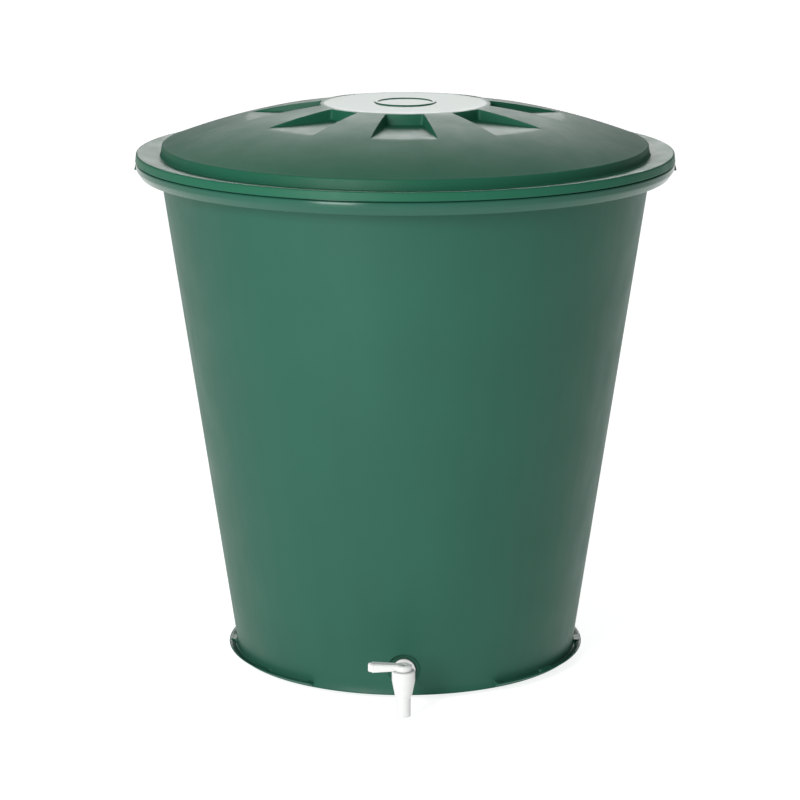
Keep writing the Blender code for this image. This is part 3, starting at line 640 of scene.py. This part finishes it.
def make_tap_body_mesh():
    """Chamber, hose end, neck and flange in one soft skin, then bored, with a ridged tail."""
    chamber = turned("tap_shell", [
        (0.0, CHAMBER_TOP, 0.0),
        (CHAMBER_TOP_RADIUS, CHAMBER_TOP, 0.0009),
        (CHAMBER_TOP_RADIUS, CHAMBER_TOP - 0.014, 0.006),
        (CHAMBER_RADIUS, SPOUT_TOP + 0.001, 0.0012),
        (SPOUT_RADIUS, SPOUT_TOP - 0.002, 0.0012),
        (SPOUT_RADIUS, SPOUT_BOTTOM, 0.0010),
        (0.0, SPOUT_BOTTOM, 0.0),
    ], columns=72, matrix=TAP_AXIS)
    neck = turned("neck", [
        (0.0, -TAP_Y, 0.0),
        (TAIL_NECK_RADIUS, -TAP_Y, 0.0),
        (TAIL_NECK_RADIUS, FLANGE_HIGH, 0.003),
        (FLANGE_RADIUS, FLANGE_HIGH, 0.0010),
        (FLANGE_RADIUS, FLANGE_LOW, 0.0008),
        (0.0, FLANGE_LOW, 0.0),
    ], columns=72, matrix=TAIL_AXIS)
    skin = combined(chamber, [("UNION", neck)])
    skin = moulded(skin, voxel=0.00045, passes=5, keep=0.45)
    tail = turned("tail", [
        (0.0, FLANGE_LOW + 0.001, 0.0),
        (TAIL_RADIUS - THREAD_DEPTH, FLANGE_LOW + 0.001, 0.0),
    ] + thread_outline(TAIL_RADIUS, TAIL_RADIUS - THREAD_DEPTH, TAIL_END + 0.001, FLANGE_LOW - 0.001) + [
        (TAIL_RADIUS - THREAD_DEPTH, TAIL_END, 0.0005),
        (0.0, TAIL_END, 0.0),
    ], columns=72, matrix=TAIL_AXIS)
    groove_top = clip_high.z + 0.0003
    groove_bottom = clip_low.z - 0.0003
    chamber_bore = turned("chamber_bore", [
        (0.0, CHAMBER_TOP + 0.005, 0.0),
        (BORE_RADIUS + 0.0056, CHAMBER_TOP + 0.005, 0.0),
        (BORE_RADIUS, CHAMBER_TOP - 0.0006, 0.0),
        (BORE_RADIUS, groove_top, 0.0),
        (CLIP_GROOVE_RADIUS, groove_top, 0.0),
        (CLIP_GROOVE_RADIUS, groove_bottom, 0.0),
        (BORE_RADIUS, groove_bottom, 0.0),
        (BORE_RADIUS, BORE_BOTTOM, 0.0),
        (SPOUT_BORE_RADIUS, BORE_BOTTOM - 0.002, 0.0),
        (SPOUT_BORE_RADIUS, SPOUT_BOTTOM + 0.0008, 0.0),
        (SPOUT_BORE_RADIUS + 0.003, SPOUT_BOTTOM - 0.0022, 0.0),
        (0.0, SPOUT_BOTTOM - 0.0022, 0.0),
    ], columns=64, matrix=TAP_AXIS)
    port_start = -TAP_Y - 0.004
    tail_bore = turned("tail_bore", [
        (0.0, port_start, 0.0),
        (PORT_RADIUS, port_start, 0.0),
        (PORT_RADIUS, -TAP_Y - CHAMBER_RADIUS - 0.003, 0.0),
        (TAIL_BORE_RADIUS, -TAP_Y - CHAMBER_RADIUS - 0.006, 0.0),
        (TAIL_BORE_RADIUS, TAIL_END + 0.0006, 0.0),
        (TAIL_BORE_RADIUS + 0.0026, TAIL_END - 0.002, 0.0),
        (0.0, TAIL_END - 0.002, 0.0),
    ], columns=64, matrix=TAIL_AXIS)
    mesh = combined(skin, [("UNION", tail), ("DIFFERENCE", chamber_bore),
                           ("DIFFERENCE", tail_bore)])
    shade(mesh, 32.0)
    return mesh


PLUG_RADIUS = (plug_high.x - plug_low.x) / 2
PLUG_SHOULDER = 0.0670
PLUG_HOLLOW_RADIUS = 0.0060
PLUG_HOLLOW_TOP = 0.0540
RING_GROOVE_RADIUS = 0.0072
RING_HEIGHTS = (0.0575, 0.0630)
RING_WIRE_RADIUS = 0.0010
RING_CENTRE_RADIUS = 0.0085
STEM_RADIUS = 0.0066
STEM_SQUARE = 0.0084
STEM_ROUND_TOP = 0.0730
SCREW_HOLE_RADIUS = 0.0021
PORT_AXIS = TAP_AXIS @ Matrix.Translation((0, 0, TAP_Z)) @ Matrix.Rotation(math.pi / 2, 4, "Y")


def make_plug_mesh():
    half = RING_WIRE_RADIUS + 0.0003
    corners = [(0.0, STEM_ROUND_TOP, 0.0), (STEM_RADIUS, STEM_ROUND_TOP, 0.0004),
               (STEM_RADIUS, PLUG_SHOULDER, 0.0004), (PLUG_RADIUS, PLUG_SHOULDER, 0.0003)]
    for height in reversed(RING_HEIGHTS):
        corners += [(PLUG_RADIUS, height + half, 0.0001), (RING_GROOVE_RADIUS, height + half, 0.0001),
                    (RING_GROOVE_RADIUS, height - half, 0.0001), (PLUG_RADIUS, height - half, 0.0001)]
    corners += [(PLUG_RADIUS, plug_low.z, 0.0005), (PLUG_HOLLOW_RADIUS, plug_low.z, 0.0003),
                (PLUG_HOLLOW_RADIUS, PLUG_HOLLOW_TOP, 0.001), (0.0, PLUG_HOLLOW_TOP, 0.0)]
    plug = turned("plug_core", corners, columns=64, matrix=TAP_AXIS)
    side = STEM_SQUARE / 2
    stem = block("stem", (-side, -side, STEM_ROUND_TOP - 0.002), (side, side, plug_high.z),
                 0.0004, TAP_AXIS)
    port = turned("port", [(0.0, 0.02, 0.0), (PORT_RADIUS, 0.02, 0.0), (PORT_RADIUS, 0.0, 0.0),
                           (0.0, 0.0, 0.0)], columns=40, matrix=PORT_AXIS)
    hole = turned("hole", [
        (0.0, plug_high.z + 0.01, 0.0),
        (SCREW_HOLE_RADIUS, plug_high.z + 0.01, 0.0),
        (SCREW_HOLE_RADIUS, screw_low.z - 0.001, 0.0),
        (0.0, screw_low.z - 0.001, 0.0),
    ], columns=24, matrix=TAP_AXIS)
    mesh = combined(plug, [("UNION", stem), ("DIFFERENCE", port), ("DIFFERENCE", hole)])
    shade(mesh)
    return mesh


HUB_RADIUS = lever_high.x
HUB_BOTTOM = 0.0735
HUB_TOP = 0.0822
LEVER_Z = 0.0782
LEVER_ROOT = (0.0070, 0.0043)
LEVER_TIP = (0.0086, 0.0066)
SCREW_HEAD_RADIUS = (screw_high.x - screw_low.x) / 2
SCREW_SEAT = 0.0797
SCREW_SHANK_RADIUS = 0.0018
SLOT_HALF_LENGTH = 0.0019
SLOT_HALF_WIDTH = 0.00042
SLOT_DEPTH = 0.0011
SLOT_TURN = 0.4               # radians from the barrel's axes


def make_lever_mesh():
    """A round hub and a flat arm that grows wider and thicker towards a rounded tip."""
    hub = turned("lever_shell", [
        (0.0, HUB_TOP, 0.0),
        (HUB_RADIUS - 0.0022, HUB_TOP, 0.0012),
        (HUB_RADIUS, HUB_TOP - 0.0022, 0.0012),
        (HUB_RADIUS, HUB_BOTTOM, 0.0006),
        (0.0, HUB_BOTTOM, 0.0),
    ], columns=72, matrix=TAP_AXIS)
    work = bmesh.new()
    bmesh.ops.create_cube(work, size=2.0)
    reach = -lever_low.x
    for vertex in work.verts:
        at_tip = vertex.co.x < 0
        half_width, half_thick = LEVER_TIP if at_tip else LEVER_ROOT
        vertex.co = Vector((-reach if at_tip else -0.004, vertex.co.y * half_width,
                            LEVER_Z + vertex.co.z * half_thick))
    upright = [edge for edge in work.edges
               if all(vertex.co.x < -reach + 0.001 for vertex in edge.verts)
               and abs(edge.verts[0].co.y - edge.verts[1].co.y) < 0.001]
    bmesh.ops.bevel(work, geom=upright, offset=0.0042, segments=6, affect="EDGES")
    bmesh.ops.bevel(work, geom=[edge for edge in work.edges if edge.calc_face_angle(0.0) > 0.9],
                    offset=0.0013, segments=4, affect="EDGES", clamp_overlap=True)
    arm = bpy.data.meshes.new("arm")
    work.to_mesh(arm)
    work.free()
    arm.transform(TAP_AXIS)
    skin = moulded(combined(hub, [("UNION", arm)]), voxel=0.00036, passes=5, keep=0.6)
    side = STEM_SQUARE / 2 + 0.0003
    socket = block("socket", (-side, -side, HUB_BOTTOM - 0.003), (side, side, plug_high.z + 0.0003),
                   0.0, TAP_AXIS)
    hole = turned("hole", [
        (0.0, HUB_TOP + 0.003, 0.0),
        (SCREW_HEAD_RADIUS + 0.0038, HUB_TOP + 0.003, 0.0),
        (SCREW_HEAD_RADIUS + 0.0003, HUB_TOP - 0.0005, 0.0),
        (SCREW_HEAD_RADIUS + 0.0003, SCREW_SEAT - 0.0003, 0.0),
        (SCREW_HOLE_RADIUS, SCREW_SEAT - 0.0003, 0.0),
        (SCREW_HOLE_RADIUS, plug_high.z - 0.004, 0.0),
        (0.0, plug_high.z - 0.004, 0.0),
    ], columns=48, matrix=TAP_AXIS)
    mesh = combined(skin, [("DIFFERENCE", socket), ("DIFFERENCE", hole)])
    shade(mesh, 32.0)
    return mesh


def make_screw_mesh():
    """A pan head screw with a cross recess."""
    screw = turned("screw", [
        (0.0, screw_high.z, 0.0),
        (SCREW_HEAD_RADIUS, screw_high.z, 0.0009),
        (SCREW_HEAD_RADIUS, SCREW_SEAT, 0.0002),
        (SCREW_SHANK_RADIUS, SCREW_SEAT, 0.0002),
        (SCREW_SHANK_RADIUS, screw_low.z + 0.0012, 0.0004),
        (0.0004, screw_low.z, 0.0002),
        (0.0, screw_low.z, 0.0),
    ], columns=48, matrix=TAP_AXIS)
    steps = []
    for turn in (0.0, math.pi / 2):
        slot = block("slot", (-SLOT_HALF_LENGTH, -SLOT_HALF_WIDTH, screw_high.z - SLOT_DEPTH),
                     (SLOT_HALF_LENGTH, SLOT_HALF_WIDTH, screw_high.z + 0.001),
                     0.0, TAP_AXIS @ Matrix.Rotation(turn + SLOT_TURN, 4, "Z"))
        steps.append(("DIFFERENCE", slot))
    mesh = combined(screw, steps)
    shade(mesh, 30.0)
    return mesh


def make_ring_mesh(height):
    angles = np.arange(0.0, 360.0, 5.0)
    turn = np.radians(np.arange(0.0, 360.0, 20.0))
    outline = np.stack([RING_CENTRE_RADIUS + RING_WIRE_RADIUS * np.sin(turn),
                        height + RING_WIRE_RADIUS * np.cos(turn)], axis=1)
    mesh = ring_mesh("o_ring", turned_grid(outline, angles), closed_loop=True)
    mesh.transform(TAP_AXIS)
    shade(mesh, 80.0)
    return mesh


def washer(name, hole, radius, low, high, matrix, fillet):
    mesh = turned(name, [(radius, high, fillet), (radius, low, fillet), (hole, low, fillet),
                         (hole, high, fillet)], closed_loop=True, matrix=matrix)
    shade(mesh)
    return mesh


CLIP_HOLE_RADIUS = 0.0072
CLIP_RADIUS = 0.0104
CLIP_GAP_HALF_WIDTH = 0.002


def make_clip_mesh():
    """A spring ring, open on the side towards the wall."""
    ring = washer("clip_ring", CLIP_HOLE_RADIUS, CLIP_RADIUS, clip_low.z, clip_high.z, TAP_AXIS, 0.0002)
    opening = block("opening", (-CLIP_GAP_HALF_WIDTH, 0.002, clip_low.z - 0.002),
                    (CLIP_GAP_HALF_WIDTH, 0.02, clip_high.z + 0.002), 0.0, TAP_AXIS)
    mesh = combined(ring, [("DIFFERENCE", opening)])
    shade(mesh)
    return mesh


def make_nut_mesh():
    """A hexagon nut with turned corners and a ridged hole."""
    low, high = -nut_high.y, -nut_low.y
    corner = max(nut_high.x - nut_low.x, nut_high.z - nut_low.z) / 2
    work = bmesh.new()
    ring = [work.verts.new((corner * math.sin(turn), corner * math.cos(turn), low))
            for turn in np.radians(np.arange(0.0, 360.0, 60.0))]
    base = work.faces.new(ring)
    swept = bmesh.ops.extrude_face_region(work, geom=[base])["geom"]
    for item in swept:
        if isinstance(item, bmesh.types.BMVert):
            item.co.z = high
    bmesh.ops.recalc_face_normals(work, faces=work.faces)
    upright = [edge for edge in work.edges if abs(edge.verts[0].co.z - edge.verts[1].co.z) > 0.001]
    bmesh.ops.bevel(work, geom=upright, offset=0.0006, segments=3, affect="EDGES")
    prism = bpy.data.meshes.new("nut_shell")
    work.to_mesh(prism)
    work.free()
    prism.transform(TAIL_AXIS)
    flat = corner * math.cos(math.pi / 6)
    dressed = turned("dressed", [
        (0.0, high, 0.0), (flat + 0.0002, high, 0.0), (corner + 0.0008, high - 0.0015, 0.0),
        (corner + 0.0008, low + 0.0015, 0.0), (flat + 0.0002, low, 0.0), (0.0, low, 0.0),
    ], columns=96, matrix=TAIL_AXIS)
    crest = GASKET_HOLE_RADIUS - 0.0001
    hole = turned("hole", [(0.0, high + 0.003, 0.0), (crest + 0.0035, high + 0.003, 0.0)]
                  + [(radius, height, 0.0) for radius, height, _ in
                     thread_outline(crest, crest + THREAD_DEPTH, low + 0.0002, high - 0.0004)]
                  + [(crest + 0.0035, low - 0.003, 0.0), (0.0, low - 0.003, 0.0)],
                  columns=72, matrix=TAIL_AXIS)
    mesh = combined(prism, [("INTERSECT", dressed), ("DIFFERENCE", hole)])
    shade(mesh, 30.0)
    return mesh


# ---- materials -----------------------------------------------------------------------------
GLOSS_BLEND = 0.002           # half the width over which one gloss turns into the next


class Surface:
    """A Principled material with procedural nodes in the piece's own coordinates."""

    def __init__(self, name, colour, roughness, metallic=0.0):
        self.material = bpy.data.materials.new(name)
        self.material.use_nodes = True
        self.tree = self.material.node_tree
        self.shader = self.tree.nodes["Principled BSDF"]
        self.shader.inputs["Base Color"].default_value = (*colour, 1.0)
        self.shader.inputs["Roughness"].default_value = roughness
        self.shader.inputs["Metallic"].default_value = metallic
        self.colour = colour
        self.coordinates = self.tree.nodes.new("ShaderNodeTexCoord")

    def join(self, source, target):
        self.tree.links.new(source, target)

    def noise(self, scale, detail=3.0, stretch=(1.0, 1.0, 1.0), distortion=0.0):
        mapping = self.tree.nodes.new("ShaderNodeMapping")
        mapping.inputs["Scale"].default_value = stretch
        self.join(self.coordinates.outputs["Object"], mapping.inputs["Vector"])
        texture = self.tree.nodes.new("ShaderNodeTexNoise")
        texture.inputs["Scale"].default_value = scale
        texture.inputs["Detail"].default_value = detail
        texture.inputs["Distortion"].default_value = distortion
        self.join(mapping.outputs["Vector"], texture.inputs["Vector"])
        return texture.outputs["Fac"]

    def ranged(self, value, low, high, start=0.3, end=0.7):
        node = self.tree.nodes.new("ShaderNodeMapRange")
        node.inputs["From Min"].default_value = start
        node.inputs["From Max"].default_value = end
        node.inputs["To Min"].default_value = low
        node.inputs["To Max"].default_value = high
        self.join(value, node.inputs["Value"])
        return node.outputs["Result"]

    def combine(self, operation, first, second):
        node = self.tree.nodes.new("ShaderNodeMath")
        node.operation = operation
        for socket, value in zip(node.inputs, (first, second)):
            if isinstance(value, float):
                socket.default_value = value
            else:
                self.join(value, socket)
        return node.outputs[0]

    def vary_colour(self, factor):
        """Multiply the base colour by a grey factor."""
        node = self.tree.nodes.new("ShaderNodeVectorMath")
        node.operation = "SCALE"
        node.inputs[0].default_value = self.colour
        self.join(factor, node.inputs["Scale"])
        self.join(node.outputs[0], self.shader.inputs["Base Color"])

    def vary_roughness(self, value):
        self.join(value, self.shader.inputs["Roughness"])

    def bump(self, *layers):
        """Stack bumps, each given as (height, strength, distance in metres)."""
        normal = None
        for height, strength, distance in layers:
            node = self.tree.nodes.new("ShaderNodeBump")
            node.inputs["Strength"].default_value = strength
            node.inputs["Distance"].default_value = distance
            self.join(height, node.inputs["Height"])
            if normal is not None:
                self.join(normal, node.inputs["Normal"])
            normal = node.outputs["Normal"]
        self.join(normal, self.shader.inputs["Normal"])


def moulded_plastic(name, colour, roughness, mottle, streak, grain_scale, grain, wave):
    """Satin moulded plastic: slight cloudiness, flow streaks, fine grain and shallow waves."""
    surface = Surface(name, colour, roughness)
    cloud = surface.ranged(surface.noise(7.0, 4.0), 1.0 - mottle, 1.0 + mottle)
    fleck = surface.ranged(surface.noise(420.0, 2.0), 1.0 - mottle * 0.6, 1.0 + mottle * 0.6)
    flow = surface.ranged(surface.noise(26.0, 3.0, (1.0, 1.0, 0.06)), 1.0 - streak, 1.0 + streak)
    surface.vary_colour(surface.combine("MULTIPLY", surface.combine("MULTIPLY", cloud, fleck), flow))
    patch = surface.ranged(surface.noise(18.0, 4.0), -0.035, 0.035)
    brushed = surface.ranged(surface.noise(60.0, 3.0, (1.0, 1.0, 0.05)), -0.02, 0.02)
    surface.vary_roughness(surface.combine("ADD", surface.combine("ADD", patch, brushed), roughness))
    surface.bump((surface.noise(5.0, 2.0), 1.0, wave), (surface.noise(grain_scale, 3.0), 1.0, grain))
    return surface


def polish(surface, inner, outer, roughness, specular):
    """Give what lies between two radii from the barrel's axis an even gloss, without grain."""
    flat = surface.tree.nodes.new("ShaderNodeVectorMath")
    flat.operation = "MULTIPLY"
    flat.inputs[1].default_value = (1.0, 1.0, 0.0)
    surface.join(surface.coordinates.outputs["Object"], flat.inputs[0])
    length = surface.tree.nodes.new("ShaderNodeVectorMath")
    length.operation = "LENGTH"
    surface.join(flat.outputs["Vector"], length.inputs[0])
    radius = length.outputs["Value"]
    beyond = surface.ranged(radius, 0.0, 1.0, inner - GLOSS_BLEND, inner + GLOSS_BLEND)
    within = surface.ranged(radius, 1.0, 0.0, outer - GLOSS_BLEND, outer + GLOSS_BLEND)
    here = surface.combine("MULTIPLY", beyond, within)
    elsewhere = surface.combine("SUBTRACT", 1.0, here)
    gloss = surface.shader.inputs["Roughness"]
    level = surface.shader.inputs["Specular IOR Level"]
    for socket, old, new in ((gloss, gloss.links[0].from_socket, roughness),
                             (level, level.default_value, specular)):
        mixed = surface.combine("ADD", surface.combine("MULTIPLY", old, elsewhere),
                                surface.combine("MULTIPLY", here, new))
        surface.join(mixed, socket)
    for node in surface.tree.nodes:
        if node.bl_idname == "ShaderNodeBump":
            surface.join(elsewhere, node.inputs["Strength"])


def make_materials():
    wall = moulded_plastic("barrel_polypropylene", (0.016, 0.086, 0.057), 0.46, 0.03, 0.02,
                           900.0, 0.00004, 0.0016)
    lid = moulded_plastic("lid_polypropylene", (0.013, 0.102, 0.058), 0.46, 0.03, 0.0,
                          900.0, 0.000006, 0.0004)
    wall.shader.inputs["Specular IOR Level"].default_value = 0.2
    lid.shader.inputs["Specular IOR Level"].default_value = 0.16
    polish(lid, -GLOSS_BLEND, DISC_RADIUS, 0.28, 0.26)
    polish(wall, BEAD_BOTTOM_RADIUS - 0.006, 1.0, 0.18, 0.26)
    tap = moulded_plastic("tap_polypropylene", (0.66, 0.67, 0.66), 0.32, 0.01, 0.0,
                          2600.0, 0.00001, 0.00003)
    plug = moulded_plastic("plug_plastic", (0.74, 0.75, 0.73), 0.38, 0.015, 0.0,
                           2600.0, 0.00001, 0.00003)
    rubber = Surface("rubber", (0.022, 0.022, 0.023), 0.72)
    rubber.vary_colour(rubber.ranged(rubber.noise(900.0, 3.0), 0.85, 1.2))
    rubber.vary_roughness(rubber.ranged(rubber.noise(300.0, 3.0), 0.64, 0.8))
    rubber.bump((rubber.noise(3500.0, 2.0), 1.0, 0.000012))
    steel = Surface("stainless_steel", (0.64, 0.63, 0.61), 0.3, 1.0)
    steel.vary_colour(steel.ranged(steel.noise(500.0, 3.0), 0.95, 1.04))
    steel.vary_roughness(steel.ranged(steel.noise(2500.0, 3.0, (1.0, 1.0, 0.2)), 0.22, 0.36))
    steel.bump((steel.noise(6000.0, 2.0), 1.0, 0.000003))
    floor = Surface("studio_floor", (0.55, 0.55, 0.55), 0.8)
    floor.shader.inputs["Emission Color"].default_value = (1.0, 1.0, 1.0, 1.0)
    floor.shader.inputs["Emission Strength"].default_value = 0.82
    floor.shader.inputs["Specular IOR Level"].default_value = 0.0
    floor.vary_colour(floor.ranged(floor.noise(3.0, 2.0), 0.998, 1.002))
    return {"wall": wall.material, "lid": lid.material, "tap": tap.material, "plug": plug.material,
            "rubber": rubber.material, "steel": steel.material, "floor": floor.material}


materials = make_materials()


# ---- pieces --------------------------------------------------------------------------------
def add(name, mesh, material, body, slot, *nodes):
    """Put in a piece, and say which body it rides and which CAD nodes it replaces. The slot is not used.
    """
    piece = link(name, mesh, materials[material])
    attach(piece, body)
    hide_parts(*nodes)


add("barrel_shell", make_barrel_mesh(), "wall", "barrel", "barrel_green", "barrel_body")
add("lid_shell", make_lid_mesh(), "lid", "lid", "lid_green", "lid")
add("tap_shell", make_tap_body_mesh(), "tap", "barrel", "tap_white", "tap_body")
add("plug", make_plug_mesh(), "plug", "tap_key", "plug_white", "tap_plug")
add("lever", make_lever_mesh(), "tap", "tap_key", "tap_white", "tap_lever")
add("screw", make_screw_mesh(), "steel", "tap_key", "stainless", "lever_screw")
for ring_name, ring_height in zip(("lower", "upper"), RING_HEIGHTS):
    add("o_ring_" + ring_name, make_ring_mesh(ring_height), "rubber", "tap_key", "black_rubber",
        "plug_ring_" + ring_name)
add("clip", make_clip_mesh(), "steel", "barrel", "stainless", "plug_clip")
add("gasket_outer", washer("gasket_outer", GASKET_HOLE_RADIUS, FLANGE_RADIUS, -gasket_high.y,
                           -gasket_low.y, TAIL_AXIS, 0.0005),
    "rubber", "barrel", "black_rubber", "tap_outer_gasket")
add("gasket_inner", washer("gasket_inner", GASKET_HOLE_RADIUS, (seal_high.x - seal_low.x) / 2,
                           -seal_high.y, -seal_low.y, TAIL_AXIS, 0.0005),
    "rubber", "barrel", "black_rubber", "tap_inner_gasket")
add("lock_nut", make_nut_mesh(), "plug", "barrel", "plug_white", "tap_lock_nut")

# The CAD nodes stay hidden, and carry the same finishes.
NODE_FINISH = {
    "barrel_body": "wall", "lid": "lid", "tap_body": "tap", "tap_plug": "plug", "tap_lever": "tap",
    "lever_screw": "steel", "plug_ring_lower": "rubber", "plug_ring_upper": "rubber",
    "plug_clip": "steel", "tap_outer_gasket": "rubber", "tap_inner_gasket": "rubber",
    "tap_lock_nut": "plug",
}
for node_name, finish in NODE_FINISH.items():
    node_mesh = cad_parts[node_name].data
    node_mesh.materials.clear()
    node_mesh.materials.append(materials[finish])

# ---- floor, light and camera ---------------------------------------------------------------
FLOOR_HALF = 40.0
floor_mesh = bpy.data.meshes.new("studio_floor")
floor_mesh.from_pydata([(-FLOOR_HALF, -FLOOR_HALF, 0), (FLOOR_HALF, -FLOOR_HALF, 0),
                        (FLOOR_HALF, FLOOR_HALF, 0), (-FLOOR_HALF, FLOOR_HALF, 0)], [], [(0, 1, 2, 3)])
link("studio_floor", floor_mesh, materials["floor"])

world = bpy.data.worlds.new("studio")
bpy.context.scene.world = world
world.use_nodes = True
sky = world.node_tree
direction = sky.nodes.new("ShaderNodeTexCoord")
split = sky.nodes.new("ShaderNodeSeparateXYZ")
sky.links.new(direction.outputs["Generated"], split.inputs[0])


def fading(axis, start, end, before, after):
    """A smooth step along one axis of the sky's direction."""
    node = sky.nodes.new("ShaderNodeMapRange")
    node.interpolation_type = "SMOOTHSTEP"
    for socket, value in (("From Min", start), ("From Max", end), ("To Min", before), ("To Max", after)):
        node.inputs[socket].default_value = value
    sky.links.new(split.outputs[axis], node.inputs["Value"])
    return node.outputs["Result"]


def joined(operation, first, second):
    """A sum or product of two of the sky's values."""
    node = sky.nodes.new("ShaderNodeMath")
    node.operation = operation
    sky.links.new(first, node.inputs[0])
    sky.links.new(second, node.inputs[1])
    return node.outputs[0]


# Even light comes from all round, and a bright panel stands at the back, low over the horizon.
around = fading("Z", 0.0, 0.6, 0.28, 0.37)
panel = joined("MULTIPLY", fading("Z", 0.20, 0.245, 0.0, 7.8), fading("Z", 0.36, 0.60, 1.0, 0.0))
width = joined("MULTIPLY", fading("X", -0.23, -0.04, 0.0, 1.0), fading("X", 0.04, 0.23, 1.0, 0.0))
behind = joined("MULTIPLY", joined("MULTIPLY", panel, width), fading("Y", 0.0, 0.3, 0.0, 1.0))
sky.links.new(joined("ADD", around, behind), sky.nodes["Background"].inputs["Strength"])
sky.nodes["Background"].inputs["Color"].default_value = (1.0, 1.0, 1.0, 1.0)


LIGHT_TARGET = Vector((0.0, 0.0, 0.4))


def area_light(name, azimuth, distance, height, size, power):
    """An oblong soft box, placed at an angle in degrees from the front and aimed at the barrel."""
    data = bpy.data.lights.new(name, "AREA")
    data.shape = "RECTANGLE"
    data.size, data.size_y = size
    data.energy = power
    lamp = bpy.data.objects.new(name, data)
    bpy.context.scene.collection.objects.link(lamp)
    swing = math.radians(azimuth)
    place = Vector((distance * math.sin(swing), -distance * math.cos(swing), height))
    aim = (LIGHT_TARGET - place).to_track_quat("-Z", "Y")
    lamp.matrix_world = Matrix.Translation(place) @ aim.to_matrix().to_4x4()


area_light("key", -27.0, 3.4, 1.5, (1.0, 2.2), 104.0)

CAMERA_AZIMUTH = math.radians(0.43)
CAMERA_DISTANCE = 4.566
CAMERA_HEIGHT = 1.444
CAMERA_PITCH = math.radians(13.0)
CAMERA_LENS = 139.41
CAMERA_SHIFT = -0.0066
camera_data = bpy.data.cameras.new("camera")
camera_data.sensor_width = 36.0
camera_data.lens = CAMERA_LENS
camera_data.shift_x = CAMERA_SHIFT
camera = bpy.data.objects.new("camera", camera_data)
bpy.context.scene.collection.objects.link(camera)
camera.location = (CAMERA_DISTANCE * math.sin(CAMERA_AZIMUTH),
                   -CAMERA_DISTANCE * math.cos(CAMERA_AZIMUTH), CAMERA_HEIGHT)
camera.rotation_euler = (math.pi / 2 - CAMERA_PITCH, 0.0, CAMERA_AZIMUTH)
bpy.context.scene.camera = camera
bpy.context.scene.view_settings.view_transform = "Standard"
